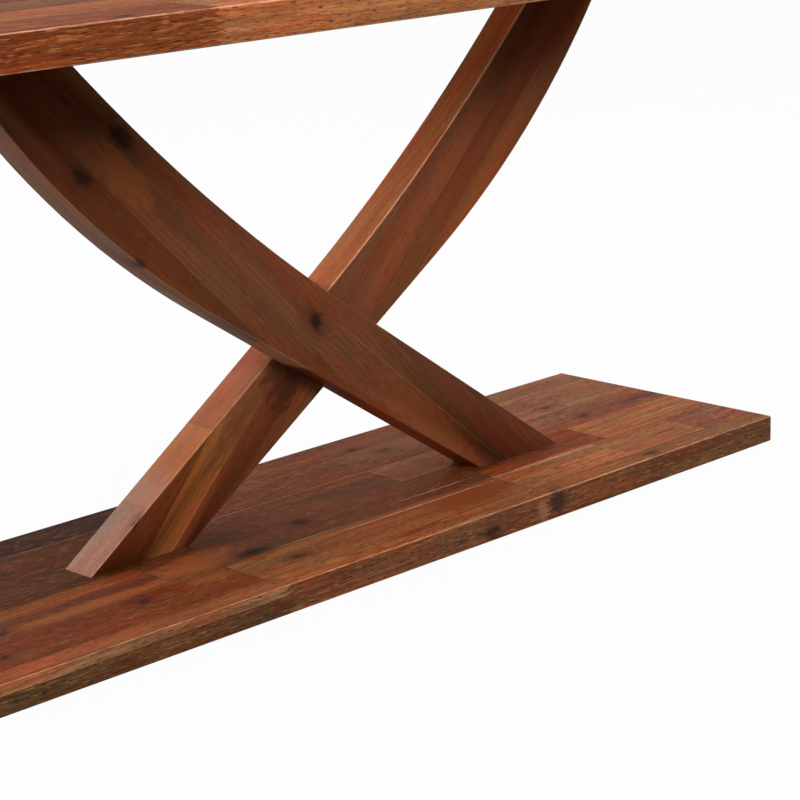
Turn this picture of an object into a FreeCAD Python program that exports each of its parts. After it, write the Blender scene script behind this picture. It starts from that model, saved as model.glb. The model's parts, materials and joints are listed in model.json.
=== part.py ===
import FreeCAD, Part
import math
import os

import Sketcher

# Sawbuck table: two sawn, curved legs cross side by side between a base plank and a
# support plank, and carry a butcher-block top. Millimetres, +X along the length,
# +Z up, origin on the floor under the middle of the table.

DRIVING_DIMENSIONS = (
    # Boards.
    ("tabletop_length", 1829),
    ("tabletop_width", 914),
    ("tabletop_thickness", 38),
    ("tabletop_corner", 22),
    ("tabletop_round", 4),
    ("base_length", 1397),
    ("base_width", 406),
    ("base_thickness", 38),
    ("support_setback", 216),
    ("support_width", 406),
    ("support_thickness", 38),
    ("plank_round", 3),
    ("batten_gap", 56.5),
    ("batten_setback", 77),
    ("batten_width", 70),
    ("batten_thickness", 38),
    ("batten_bevel_length", 70),
    ("batten_bevel_height", 18),
    ("batten_ease", 2),
    # Legs: each edge starts straight at the foot and runs into one long arc.
    ("leg_thickness", 51),
    ("leg_height", 644),
    ("leg_ease", 1.5),
    ("foot_inner", 238),
    ("foot_outer", 396),
    ("lower_edge_angle", 33),
    ("lower_edge_straight", 547),
    ("lower_edge_radius", 1220),
    ("upper_edge_angle", 34.5),
    ("upper_edge_straight", 476),
    ("upper_edge_radius", 2650),
    # Bolts through the planks into the ends of the legs.
    ("bolt_inset", 30),
    ("bolt_spacing", 60),
    ("bolt_radius", 4),
    ("bolt_engagement", 24.4),
    ("bolt_head_radius", 6.5),
    ("bolt_head_height", 8),
    ("bolt_socket", 6),
    ("bolt_washer_radius", 8.5),
    ("bolt_washer_thickness", 1.6),
    ("bolt_insert_radius", 6),
    ("bolt_insert_length", 20),
    ("bolt_recess_radius", 9.5),
    ("bolt_recess_depth", 14),
    # Bolts where the legs cross.
    ("cross_bolt_spacing", 76),
    ("cross_bolt_radius", 5),
    ("cross_bolt_engagement", 28),
    ("cross_head_radius", 8),
    ("cross_head_height", 10),
    ("cross_socket", 8),
    ("cross_washer_radius", 10.5),
    ("cross_washer_thickness", 2),
    ("cross_insert_radius", 7),
    ("cross_insert_length", 25),
    ("cross_recess_radius", 11.5),
    ("cross_recess_depth", 13),
    # Dowels that locate the legs on the planks.
    ("dowel_radius", 4),
    ("dowel_length", 30),
    # Screws that hold the top, in slots across its grain.
    ("screw_radius", 2.75),
    ("screw_engagement", 25.5),
    ("screw_head_radius", 5.5),
    ("screw_head_height", 4),
    ("screw_point_length", 6),
    ("screw_washer_radius", 8),
    ("screw_washer_thickness", 1.5),
    ("screw_recess_radius", 9),
    ("screw_recess_depth", 10),
    ("screw_slot_travel", 8),
    ("support_screw_end_inset", 98.5),
    ("support_screw_side_inset", 53),
    ("support_screw_columns", 4),
    ("batten_screw_inset", 80),
    ("batten_screw_rows", 4),
    # Floor glides and their screws.
    ("glide_radius", 14),
    ("glide_thickness", 4),
    ("glide_round", 1.2),
    ("glide_end_inset", 58.5),
    ("glide_side_inset", 43),
    ("glide_columns", 3),
    ("glide_screw_radius", 1.75),
    ("glide_screw_length", 20),
    ("glide_screw_head_radius", 3.6),
    ("glide_screw_head_height", 2),
    ("glide_screw_sink", 0.6),
    # Clearances.
    ("fit_gap", 0.1),
    ("drill_allowance", 3),
    ("end_chamfer", 1),
)

doc = FreeCAD.newDocument("sawbuck_table")
sheet = doc.addObject("Spreadsheet::Sheet", "dims")
for row, (alias, number) in enumerate(DRIVING_DIMENSIONS, start=1):
    sheet.set("A%d" % row, alias)
    sheet.set("B%d" % row, str(number))
    sheet.setAlias("B%d" % row, alias)
doc.recompute()


class Size:
    """A length that knows its number and the sheet formula that gives it."""

    def __init__(self, number, formula):
        self.number = number
        self.formula = formula

    def __add__(self, other):
        other = as_size(other)
        return Size(self.number + other.number, "(%s + %s)" % (self.formula, other.formula))

    def __sub__(self, other):
        other = as_size(other)
        return Size(self.number - other.number, "(%s - %s)" % (self.formula, other.formula))

    def __mul__(self, other):
        other = as_size(other)
        return Size(self.number * other.number, "%s * %s" % (self.formula, other.formula))

    def __truediv__(self, other):
        other = as_size(other)
        return Size(self.number / other.number, "%s / %s" % (self.formula, other.formula))

    def __neg__(self):
        return Size(-self.number, "(0 - %s)" % self.formula)


def as_size(value):
    return value if isinstance(value, Size) else Size(float(value), repr(value))


def dim(alias):
    return Size(float(sheet.get(alias)), "dims." + alias)


def tangent(angle):
    return Size(math.tan(math.radians(angle.number)), "tan(%s)" % angle.formula)


def smaller(first, second):
    return Size(min(first.number, second.number), "min(%s; %s)" % (first.formula, second.formula))


# Levels, from the floor up, and the places that several pieces share.

base_bottom = dim("glide_thickness")
base_top = base_bottom + dim("base_thickness")
head_level = base_top + dim("leg_height")
support_top = head_level + dim("support_thickness")

# The support plank and the battens keep their distances from the edges of the top.
support_length = dim("tabletop_length") - dim("support_setback") * 2
batten_length = dim("tabletop_width") - dim("batten_setback") * 2
batten_reach = support_length / 2 + dim("batten_gap") + dim("batten_width") / 2

# Spans of the screw and glide patterns, between the middles of their outer rows.
support_screw_span_x = support_length - dim("support_screw_end_inset") * 2
support_screw_span_y = dim("support_width") - dim("support_screw_side_inset") * 2
batten_screw_span_y = batten_length - dim("batten_screw_inset") * 2
glide_span_x = dim("base_length") - dim("glide_end_inset") * 2
glide_span_y = dim("base_width") - dim("glide_side_inset") * 2

# Both edges are straight at mid-length, so the crossing's middle follows from their slopes.
crossing_height = (dim("foot_inner") * tangent(dim("lower_edge_angle"))
                   + dim("foot_outer") * tangent(dim("upper_edge_angle"))) / 2
leg_middle = dim("leg_thickness") / 2


# Building blocks.

def origin_feature(body, role):
    for feature in body.Origin.OriginFeatures:
        if feature.Role == role:
            return feature
    raise ValueError("no origin feature " + role)


def new_body(name, level=None, half_turn_about=None):
    """A body at a level, turned over or round by half a turn where an axis is given."""
    body = doc.addObject("PartDesign::Body", name)
    body.Label = name
    if half_turn_about is not None:
        body.Placement = FreeCAD.Placement(
            FreeCAD.Vector(0, 0, 0), FreeCAD.Rotation(half_turn_about, 180))
    if level is not None:
        body.setExpression("Placement.Base.z", level.formula)
    return body


def new_sketch(body, name, role, offset=None):
    """A sketch on one of the body's own planes, moved by offset = (x, y, z) of the sketch."""
    sketch = body.newObject("Sketcher::SketchObject", body.Name + "_" + name)
    sketch.AttachmentSupport = [(origin_feature(body, role), "")]
    sketch.MapMode = "FlatFace"
    if offset is not None:
        for letter, value in zip("xyz", offset):
            if value is not None:
                sketch.setExpression("AttachmentOffset.Base." + letter, value.formula)
    return sketch


def constrain(sketch, kind, *references, size=None, angle=False):
    """Adds a constraint, bound to the sheet where it has a size."""
    if size is None:
        sketch.addConstraint(Sketcher.Constraint(kind, *references))
        return
    number = math.radians(size.number) if angle else size.number
    index = sketch.addConstraint(Sketcher.Constraint(kind, *references, number))
    formula = size.formula + " * 1 deg" if angle else size.formula
    sketch.setExpression("Constraints[%d]" % index, formula)


def place_point(sketch, geometry, point, place):
    """Fixes a point of a sketch at place = (x, y) from the sketch's origin."""
    for kind, axis_line, value in (("DistanceX", -2, place[0]), ("DistanceY", -1, place[1])):
        if isinstance(value, Size):
            constrain(sketch, kind, -1, 1, geometry, point, size=value)
        else:
            constrain(sketch, "PointOnObject", geometry, point, axis_line)


def vector_of(place):
    return FreeCAD.Vector(as_size(place[0]).number, as_size(place[1]).number, 0)


def draw_outline(sketch, places):
    """A closed outline of straight lines through places; a 0 puts a point on an axis."""
    lines = []
    for start, end in zip(places, places[1:] + places[:1]):
        lines.append(sketch.addGeometry(Part.LineSegment(vector_of(start), vector_of(end)), False))
    for line, following in zip(lines, lines[1:] + lines[:1]):
        constrain(sketch, "Coincident", line, 2, following, 1)
    for line, place in zip(lines, places):
        place_point(sketch, line, 1, place)


def draw_rectangle(sketch, length, width):
    """A rectangle about the sketch's origin."""
    draw_outline(sketch, [(-length / 2, -width / 2), (length / 2, -width / 2),
                          (length / 2, width / 2), (-length / 2, width / 2)])


def draw_circle(sketch, place, radius):
    circle = Part.Circle(vector_of(place), FreeCAD.Vector(0, 0, 1), radius.number)
    index = sketch.addGeometry(circle, False)
    place_point(sketch, index, 3, place)
    constrain(sketch, "Radius", index, size=radius)


def draw_slot(sketch, place, radius, travel):
    """A round-ended slot along the sketch's Y, its middle at place."""
    middle = vector_of(place)
    half = FreeCAD.Vector(0, travel.number / 2, 0)
    side = FreeCAD.Vector(radius.number, 0, 0)
    upper = sketch.addGeometry(Part.ArcOfCircle(Part.Circle(
        middle + half, FreeCAD.Vector(0, 0, 1), radius.number), 0, math.pi), False)
    lower = sketch.addGeometry(Part.ArcOfCircle(Part.Circle(
        middle - half, FreeCAD.Vector(0, 0, 1), radius.number), math.pi, 2 * math.pi), False)
    left = sketch.addGeometry(Part.LineSegment(middle + half - side, middle - half - side), False)
    right = sketch.addGeometry(Part.LineSegment(middle - half + side, middle + half + side), False)
    constrain(sketch, "Tangent", upper, 2, left, 1)
    constrain(sketch, "Tangent", left, 2, lower, 1)
    constrain(sketch, "Tangent", lower, 2, right, 1)
    constrain(sketch, "Tangent", right, 2, upper, 1)
    constrain(sketch, "Vertical", left)
    place_point(sketch, upper, 3, (place[0], place[1] + travel / 2))
    constrain(sketch, "DistanceY", lower, 3, upper, 3, size=travel)
    constrain(sketch, "Radius", upper, size=radius)


def draw_hexagon(sketch, across_flats):
    """A hexagon about the sketch's origin, with two corners on its X axis."""
    corner = across_flats / as_size(round(math.sqrt(3), 6))
    half = across_flats / 2
    draw_outline(sketch, [(corner, 0), (corner / 2, half), (-corner / 2, half),
                          (-corner, 0), (-corner / 2, -half), (corner / 2, -half)])


def add_pad(body, sketch, length):
    pad = body.newObject("PartDesign::Pad", sketch.Name + "_pad")
    pad.Profile = sketch
    pad.setExpression("Length", length.formula)
    return pad


def add_pocket(body, sketch, depth, reverse=False):
    pocket = body.newObject("PartDesign::Pocket", sketch.Name + "_pocket")
    pocket.Profile = sketch
    pocket.setExpression("Length", depth.formula)
    pocket.Reversed = reverse
    return pocket


def add_revolution(body, sketch):
    """Turns a sketch about its own vertical axis."""
    revolution = body.newObject("PartDesign::Revolution", sketch.Name + "_turned")
    revolution.Profile = sketch
    revolution.ReferenceAxis = (sketch, ["V_Axis"])
    revolution.Angle = 360
    return revolution


def edges_of(base, edge_test):
    """The base feature with the names of its edges that pass edge_test."""
    doc.recompute()
    names = ["Edge%d" % number for number, edge in enumerate(base.Shape.Edges, start=1)
             if edge_test(edge)]
    return base, names


def add_fillet(body, base, radius, edge_test):
    fillet = body.newObject("PartDesign::Fillet", base.Name + "_fillet")
    fillet.Base = edges_of(base, edge_test)
    fillet.setExpression("Radius", radius.formula)
    return fillet


def add_chamfer(body, base, size, edge_test):
    chamfer = body.newObject("PartDesign::Chamfer", base.Name + "_chamfer")
    chamfer.Base = edges_of(base, edge_test)
    chamfer.setExpression("Size", size.formula)
    return chamfer


def lies_at(edge, axis, number):
    """True where the whole edge lies in the plane axis = number."""
    places = [getattr(edge.valueAt(parameter), axis) for parameter in edge.ParameterRange]
    return all(abs(place - number) < 0.01 for place in places)


def repeat_along(body, originals, directions, whole=False):
    """Copies features, or the whole piece, along one or two (role, span, count) directions."""
    doc.recompute()
    pattern = body.newObject("PartDesign::LinearPattern", body.Name + "_row")
    if whole:
        pattern.TransformMode = "Whole shape"
    else:
        pattern.Originals = originals
    for suffix, (role, span, count) in zip(("", "2"), directions):
        setattr(pattern, "Direction" + suffix, (origin_feature(body, role), [""]))
        pattern.setExpression("Length" + suffix, span.formula)
        pattern.setExpression("Occurrences" + suffix, count.formula)
    body.Tip = pattern


def repeat_for_other_leg(body):
    """Copies the whole piece to the place where the turned leg needs it."""
    doc.recompute()
    pattern = body.newObject("PartDesign::PolarPattern", body.Name + "_pair")
    pattern.TransformMode = "Whole shape"
    pattern.Axis = (origin_feature(body, "Z_Axis"), [""])
    pattern.Angle = 360
    pattern.Occurrences = 2
    body.Tip = pattern


ALONG_X = "X_Axis"
ALONG_Y = "Y_Axis"
TWO = as_size(2)
HALF_TURN = as_size(180)
ABOUT_X = FreeCAD.Vector(1, 0, 0)
ABOUT_Z = FreeCAD.Vector(0, 0, 1)


# Legs. Both are the same sawn blank, and the rear one is turned half round, so its foot
# stands where the front one's head is. A leg's mating face lies at Y = 0 in its own frame.

def draw_leg_outline(sketch):
    """Foot, upper edge, head and lower edge, with the arcs tangent to the straights."""
    inner, outer = dim("foot_inner"), dim("foot_outer")
    height = dim("leg_height").number
    index = {}
    heads = {}
    for name, start in (("lower", inner), ("upper", outer)):
        angle = math.radians(dim(name + "_edge_angle").number)
        straight = dim(name + "_edge_straight").number
        radius = dim(name + "_edge_radius").number
        foot = FreeCAD.Vector(start.number, 0, 0)
        along = FreeCAD.Vector(-math.cos(angle), math.sin(angle), 0)
        bend = foot + along * straight
        centre = bend + FreeCAD.Vector(math.sin(angle), math.cos(angle), 0) * radius
        head_angle = math.acos((centre.y - height) / radius)
        index[name + "_line"] = sketch.addGeometry(Part.LineSegment(foot, bend), False)
        circle = Part.Circle(centre, FreeCAD.Vector(0, 0, 1), radius)
        # The arc is drawn anticlockwise, from the head round to the straight.
        arc = Part.ArcOfCircle(circle, 1.5 * math.pi - head_angle, 1.5 * math.pi - angle)
        index[name + "_arc"] = sketch.addGeometry(arc, False)
        heads[name] = arc.StartPoint
    index["foot"] = sketch.addGeometry(
        Part.LineSegment(vector_of((inner, 0)), vector_of((outer, 0))), False)
    index["head"] = sketch.addGeometry(Part.LineSegment(heads["lower"], heads["upper"]), False)
    for name, foot_end in (("lower", 1), ("upper", 2)):
        line, arc = index[name + "_line"], index[name + "_arc"]
        constrain(sketch, "Coincident", index["foot"], foot_end, line, 1)
        constrain(sketch, "Tangent", line, 2, arc, 2)
        constrain(sketch, "Coincident", index["head"], foot_end, arc, 1)
        constrain(sketch, "Distance", line, size=dim(name + "_edge_straight"))
        constrain(sketch, "Radius", arc, size=dim(name + "_edge_radius"))
        # The line runs back from the foot, so its direction is half a turn less the angle.
        constrain(sketch, "Angle", line,
                  size=HALF_TURN - dim(name + "_edge_angle"), angle=True)
    place_point(sketch, index["foot"], 1, (inner, 0))
    place_point(sketch, index["foot"], 2, (outer, 0))
    constrain(sketch, "Horizontal", index["head"])
    constrain(sketch, "DistanceY", -1, 1, index["head"], 2, size=dim("leg_height"))
    # Measured, not driven: where the head's inner end comes out. The head bolts follow it.
    measured = sketch.addConstraint(Sketcher.Constraint(
        "DistanceX", index["head"], 2, -1, 1, -heads["upper"].x))
    sketch.setDriving(measured, False)
    sketch.renameConstraint(measured, "head_inner")


def end_bolt_places(first):
    """Where an end of a leg is bolted, from its inner end outwards: bolts and dowel."""
    bolts = [first + dim("bolt_inset"), first + dim("bolt_inset") + dim("bolt_spacing")]
    dowel = first + dim("bolt_inset") + dim("bolt_spacing") / 2
    return bolts, dowel


def drill_leg_end(body, name, first, sign, offset, reverse):
    """Bores for the threaded inserts, the bolts' tips and the dowel in a foot or a head."""
    bolts, dowel = end_bolt_places(first)
    gap = dim("fit_gap")
    bores = (
        ("insert", bolts, dim("bolt_insert_radius") + gap, dim("bolt_insert_length")),
        ("tip", bolts, dim("bolt_radius") + gap, dim("bolt_engagement") + dim("drill_allowance")),
        ("dowel", [dowel], dim("dowel_radius") + gap, dim("dowel_length") / 2 + gap),
    )
    for bore, places, radius, depth in bores:
        sketch = new_sketch(body, name + "_" + bore, "XY_Plane", offset)
        for place in places:
            draw_circle(sketch, (place * sign, -leg_middle), radius)
        add_pocket(body, sketch, depth, reverse)


def make_leg(name, half_turn_about=None):
    body = new_body(name, base_top, half_turn_about)
    outline = new_sketch(body, "outline", "XZ_Plane")
    draw_leg_outline(outline)
    blank = add_pad(body, outline, dim("leg_thickness"))
    thickness = dim("leg_thickness").number
    height = dim("leg_height").number

    def is_long_edge(edge):
        on_a_face = lies_at(edge, "y", 0) or lies_at(edge, "y", -thickness)
        return on_a_face and not lies_at(edge, "z", 0) and not lies_at(edge, "z", height)

    add_chamfer(body, blank, dim("leg_ease"), is_long_edge)
    doc.recompute()
    head_inner = Size(outline.getDatum("head_inner").Value,
                      "(%s.Constraints.head_inner / 1 mm)" % outline.Name)
    drill_leg_end(body, "foot", dim("foot_inner"), 1, None, True)
    drill_leg_end(body, "head", head_inner, -1, (None, None, dim("leg_height")), False)
    return body, head_inner


def crossing_places():
    half = dim("cross_bolt_spacing") / 2
    return [(-half, crossing_height), (half, crossing_height)]


def drill_crossing(body, bores):
    """Bores across a leg at the crossing: (name, distance from mating face, radius, depth)."""
    for name, start, radius, depth in bores:
        sketch = new_sketch(body, "crossing_" + name, "XZ_Plane", (None, None, start))
        for place in crossing_places():
            draw_circle(sketch, place, radius)
        add_pocket(body, sketch, depth, True)


def make_front_leg():
    """The front leg takes the crossing bolts in blind bores, so its face stays clear."""
    body, head_inner = make_leg("front_leg")
    gap = dim("fit_gap")
    mating_face = as_size(0)
    drill_crossing(body, (
        ("insert", mating_face, dim("cross_insert_radius") + gap, dim("cross_insert_length")),
        ("tip", mating_face, dim("cross_bolt_radius") + gap,
         dim("cross_bolt_engagement") + dim("drill_allowance")),
    ))
    return head_inner


def make_rear_leg():
    """The rear leg is bored through, with recesses for heads and washers on its outside."""
    body, _ = make_leg("rear_leg", ABOUT_Z)
    gap = dim("fit_gap")
    mating_face = as_size(0)
    recess_floor = dim("leg_thickness") - dim("cross_recess_depth")
    drill_crossing(body, (
        ("clearance", mating_face, dim("cross_bolt_radius") + gap, dim("leg_thickness")),
        ("recess", recess_floor, dim("cross_recess_radius"), dim("cross_recess_depth")),
    ))


# Planks. The base plank lies on the glides and the support plank on the legs' heads.

def make_plank(name, length, width, thickness, level, half_turn_about=None):
    body = new_body(name, level, half_turn_about)
    outline = new_sketch(body, "outline", "XY_Plane")
    draw_rectangle(outline, length, width)
    board = add_pad(body, outline, thickness)
    add_fillet(body, board, dim("plank_round"), lambda edge: True)
    return body


def drill_plank_for_leg_ends(body, first, thickness):
    """Recesses in the far face, bolt holes through, and dowel bores in the seat face."""
    bolts, dowel = end_bolt_places(first)
    gap = dim("fit_gap")
    bores = (
        ("recess", bolts, dim("bolt_recess_radius"), as_size(0), dim("bolt_recess_depth")),
        ("bolt", bolts, dim("bolt_radius") + gap, as_size(0), thickness),
        ("dowel", [dowel], dim("dowel_radius") + gap,
         thickness - dim("dowel_length") / 2 - gap, dim("dowel_length") / 2 + gap),
    )
    for name, places, radius, start, depth in bores:
        sketch = new_sketch(body, name, "XY_Plane", (None, None, start))
        for place in places:
            draw_circle(sketch, (place, -leg_middle), radius)
            draw_circle(sketch, (-place, leg_middle), radius)
        add_pocket(body, sketch, depth, True)


def make_base_plank():
    thickness = dim("base_thickness")
    body = make_plank("base_plank", dim("base_length"), dim("base_width"), thickness, base_bottom)
    drill_plank_for_leg_ends(body, dim("foot_inner"), thickness)
    sketch = new_sketch(body, "glide_pilot", "XY_Plane")
    draw_circle(sketch, (-glide_span_x / 2, -glide_span_y / 2),
                dim("glide_screw_radius") + dim("fit_gap"))
    pilot = add_pocket(body, sketch, dim("glide_screw_length"), True)
    repeat_along(body, [pilot], [(ALONG_X, glide_span_x, dim("glide_columns")),
                                 (ALONG_Y, glide_span_y, TWO)])


def slot_for_screws(body, place, thickness, recess_start, directions):
    """Washer recesses with a slot through each, so that the top can move across its grain."""
    recess = new_sketch(body, "screw_recess", "XY_Plane", (None, None, recess_start))
    draw_slot(recess, place, dim("screw_recess_radius"), dim("screw_slot_travel"))
    slot = new_sketch(body, "screw_slot", "XY_Plane")
    draw_slot(slot, place, dim("screw_radius") + dim("fit_gap"), dim("screw_slot_travel"))
    originals = [add_pocket(body, recess, dim("screw_recess_depth"), True),
                 add_pocket(body, slot, thickness, True)]
    repeat_along(body, originals, directions)


def support_screw_grid():
    place = (-support_screw_span_x / 2, -support_screw_span_y / 2)
    directions = [(ALONG_X, support_screw_span_x, dim("support_screw_columns")),
                  (ALONG_Y, support_screw_span_y, TWO)]
    return place, directions


def batten_screw_grid():
    place = (-batten_reach, -batten_screw_span_y / 2)
    directions = [(ALONG_X, batten_reach * 2, TWO),
                  (ALONG_Y, batten_screw_span_y, dim("batten_screw_rows"))]
    return place, directions


def make_support_plank(head_inner):
    """Drawn with its seat face up, like the base plank, and turned over onto the heads."""
    thickness = dim("support_thickness")
    body = make_plank("support_plank", support_length, dim("support_width"),
                      thickness, support_top, ABOUT_X)
    drill_plank_for_leg_ends(body, head_inner, thickness)
    place, directions = support_screw_grid()
    slot_for_screws(body, place, thickness, thickness - dim("screw_recess_depth"), directions)


def make_battens():
    """Cross battens keep the wide top flat; their undersides are cut back at the ends."""
    thickness = dim("batten_thickness")
    bevel_length, bevel_height = dim("batten_bevel_length"), dim("batten_bevel_height")
    half = batten_length / 2
    for name, sign in (("left_batten", -1), ("right_batten", 1)):
        body = new_body(name, support_top - thickness)
        body.setExpression("Placement.Base.x", (batten_reach * sign).formula)
        profile = new_sketch(body, "profile", "YZ_Plane", (None, None, -dim("batten_width") / 2))
        draw_outline(profile, [
            (bevel_length - half, 0), (half - bevel_length, 0), (half, bevel_height),
            (half, thickness), (-half, thickness), (-half, bevel_height)])
        bar = add_pad(body, profile, dim("batten_width"))
        top = thickness.number
        add_chamfer(body, bar, dim("batten_ease"), lambda edge: not lies_at(edge, "z", top))
        place = (as_size(0), -batten_screw_span_y / 2)
        slot_for_screws(body, place, thickness, as_size(0),
                        [(ALONG_Y, batten_screw_span_y, dim("batten_screw_rows"))])


def make_tabletop():
    body = new_body("tabletop", support_top)
    outline = new_sketch(body, "outline", "XY_Plane")
    draw_rectangle(outline, dim("tabletop_length"), dim("tabletop_width"))
    board = add_pad(body, outline, dim("tabletop_thickness"))
    thickness = dim("tabletop_thickness").number
    cornered = add_fillet(body, board, dim("tabletop_corner"),
                          lambda edge: not lies_at(edge, "z", 0) and not lies_at(edge, "z", thickness))
    edge_round = smaller(dim("tabletop_round"), dim("tabletop_thickness") / 3)
    add_fillet(body, cornered, edge_round,
               lambda edge: lies_at(edge, "z", 0) or lies_at(edge, "z", thickness))
    for name, (place, directions) in (("support_pilot", support_screw_grid()),
                                      ("batten_pilot", batten_screw_grid())):
        sketch = new_sketch(body, name, "XY_Plane")
        draw_circle(sketch, place, dim("screw_radius") + dim("fit_gap"))
        pilot = add_pocket(body, sketch, dim("screw_engagement") + dim("fit_gap"), True)
        repeat_along(body, [pilot], directions)


# Fasteners. Each is turned from its half profile at its first place and then repeated.
# The profiles of pieces that stand upright lie in the XZ plane, whose normal is -Y.

def upright_profile(body, place):
    return new_sketch(body, "profile", "XZ_Plane", (place[0], None, -place[1]))


def add_socket(body, place, top, depth, across_flats):
    """A hexagon socket in a head whose flat end lies at top and looks down."""
    sketch = new_sketch(body, "socket", "XY_Plane", (place[0], place[1], top))
    draw_hexagon(sketch, across_flats)
    add_pocket(body, sketch, depth, True)


def bolt_outline(head_radius, head_height, radius, seat, tip):
    """Half profile of a socket-head bolt from its head, below the seat, to its tip."""
    chamfer = dim("end_chamfer")
    bottom = seat - head_height
    return [(0, bottom), (head_radius - chamfer, bottom), (head_radius, bottom + chamfer),
            (head_radius, seat), (radius, seat), (radius, tip - chamfer),
            (radius - chamfer, tip), (0, tip)]


def make_end_fasteners(prefix, first, thickness, level, half_turn_about=None):
    """Bolts, washers, inserts and dowels of the feet, or turned over, of the heads.

    Their frame's Z = 0 is the joint between plank and leg, with the plank below it.
    """
    bolts, dowel = end_bolt_places(first)
    place = (bolts[0], -leg_middle)
    span = [(ALONG_X, dim("bolt_spacing"), TWO)]
    gap = dim("fit_gap")
    recess_floor = dim("bolt_recess_depth") - thickness
    seat = recess_floor - dim("bolt_washer_thickness")
    profiles = (
        ("_bolts", bolt_outline(dim("bolt_head_radius"), dim("bolt_head_height"),
                                dim("bolt_radius"), seat, dim("bolt_engagement"))),
        ("_washers", [(dim("bolt_radius") + gap, seat), (dim("bolt_washer_radius"), seat),
                      (dim("bolt_washer_radius"), recess_floor),
                      (dim("bolt_radius") + gap, recess_floor)]),
        ("_inserts", [(dim("bolt_radius") + gap, 0), (dim("bolt_insert_radius"), 0),
                      (dim("bolt_insert_radius"), dim("bolt_insert_length")),
                      (dim("bolt_radius") + gap, dim("bolt_insert_length"))]),
    )
    for suffix, outline in profiles:
        body = new_body(prefix + suffix, level, half_turn_about)
        sketch = upright_profile(body, place)
        draw_outline(sketch, outline)
        add_revolution(body, sketch)
        if suffix == "_bolts":
            add_socket(body, place, seat - dim("bolt_head_height"),
                       dim("bolt_head_height") / 2, dim("bolt_socket"))
        repeat_along(body, None, span, whole=True)
        repeat_for_other_leg(body)
    body = new_body(prefix + "_dowels", level, half_turn_about)
    sketch = upright_profile(body, (dowel, -leg_middle))
    half, radius, chamfer = dim("dowel_length") / 2, dim("dowel_radius"), dim("end_chamfer")
    draw_outline(sketch, [(0, -half), (radius - chamfer, -half), (radius, chamfer - half),
                          (radius, half - chamfer), (radius - chamfer, half), (0, half)])
    add_revolution(body, sketch)
    repeat_for_other_leg(body)


def make_crossing_fasteners():
    """Bolts from the rear leg's outside into inserts in the front leg, along -Y.

    They are drawn in the XY plane at the crossing's height, with the joint at Y = 0.
    """
    gap = dim("fit_gap")
    recess_floor = dim("leg_thickness") - dim("cross_recess_depth")
    seat = recess_floor + dim("cross_washer_thickness")
    head_end = seat + dim("cross_head_height")
    head_radius, radius, chamfer = (dim("cross_head_radius"), dim("cross_bolt_radius"),
                                    dim("end_chamfer"))
    tip = -dim("cross_bolt_engagement")
    inner = radius + gap
    profiles = (
        ("crossing_bolts", [(0, tip), (radius - chamfer, tip), (radius, tip + chamfer),
                            (radius, seat), (head_radius, seat),
                            (head_radius, head_end - chamfer),
                            (head_radius - chamfer, head_end), (0, head_end)]),
        ("crossing_washers", [(inner, recess_floor), (dim("cross_washer_radius"), recess_floor),
                              (dim("cross_washer_radius"), seat), (inner, seat)]),
        ("crossing_inserts", [(inner, -dim("cross_insert_length")),
                              (dim("cross_insert_radius"), -dim("cross_insert_length")),
                              (dim("cross_insert_radius"), 0), (inner, 0)]),
    )
    half = dim("cross_bolt_spacing") / 2
    for name, outline in profiles:
        body = new_body(name, base_top)
        sketch = new_sketch(body, "profile", "XY_Plane", (-half, None, crossing_height))
        draw_outline(sketch, outline)
        add_revolution(body, sketch)
        if name == "crossing_bolts":
            socket = new_sketch(body, "socket", "XZ_Plane", (-half, crossing_height, -head_end))
            draw_hexagon(socket, dim("cross_socket"))
            add_pocket(body, socket, dim("cross_head_height") / 2, True)
        repeat_along(body, None, [(ALONG_X, dim("cross_bolt_spacing"), TWO)], whole=True)


def make_top_screws(prefix, grid, thickness):
    """Screws up through a board into the top, with a washer under each head.

    Their frame's Z = 0 is the underside of the top.
    """
    place, directions = grid
    recess_floor = dim("screw_recess_depth") - thickness
    seat = recess_floor - dim("screw_washer_thickness")
    head_end = seat - dim("screw_head_height")
    tip = dim("screw_engagement")
    radius, head_radius, chamfer = (dim("screw_radius"), dim("screw_head_radius"),
                                    dim("end_chamfer"))
    inner = radius + dim("fit_gap")
    profiles = (
        ("_screws", [(0, head_end), (head_radius - chamfer, head_end),
                     (head_radius, head_end + chamfer), (head_radius, seat), (radius, seat),
                     (radius, tip - dim("screw_point_length")), (0, tip)]),
        ("_screw_washers", [(inner, seat), (dim("screw_washer_radius"), seat),
                            (dim("screw_washer_radius"), recess_floor), (inner, recess_floor)]),
    )
    for suffix, outline in profiles:
        body = new_body(prefix + suffix, support_top)
        sketch = upright_profile(body, place)
        draw_outline(sketch, outline)
        add_revolution(body, sketch)
        repeat_along(body, None, directions, whole=True)


def make_glides():
    """Turned floor glides, each held by a countersunk screw that stays off the floor."""
    place = (-glide_span_x / 2, -glide_span_y / 2)
    directions = [(ALONG_X, glide_span_x, dim("glide_columns")),
                  (ALONG_Y, glide_span_y, TWO)]
    gap = dim("fit_gap")
    top, radius, edge = dim("glide_thickness"), dim("glide_radius"), dim("glide_round")
    sink, head_height = dim("glide_screw_sink"), dim("glide_screw_head_height")
    shank, head_radius = dim("glide_screw_radius"), dim("glide_screw_head_radius")
    tip = top + dim("glide_screw_length") - gap
    profiles = (
        ("glides", [(head_radius + gap, 0), (radius - edge, 0), (radius, edge), (radius, top),
                    (shank + gap, top), (shank + gap, sink + head_height),
                    (head_radius + gap, sink)]),
        ("glide_screws", [(0, sink), (head_radius, sink), (shank, sink + head_height),
                          (shank, tip - dim("screw_point_length")), (0, tip)]),
    )
    for name, outline in profiles:
        body = new_body(name)
        sketch = upright_profile(body, place)
        draw_outline(sketch, outline)
        add_revolution(body, sketch)
        repeat_along(body, None, directions, whole=True)


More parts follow.
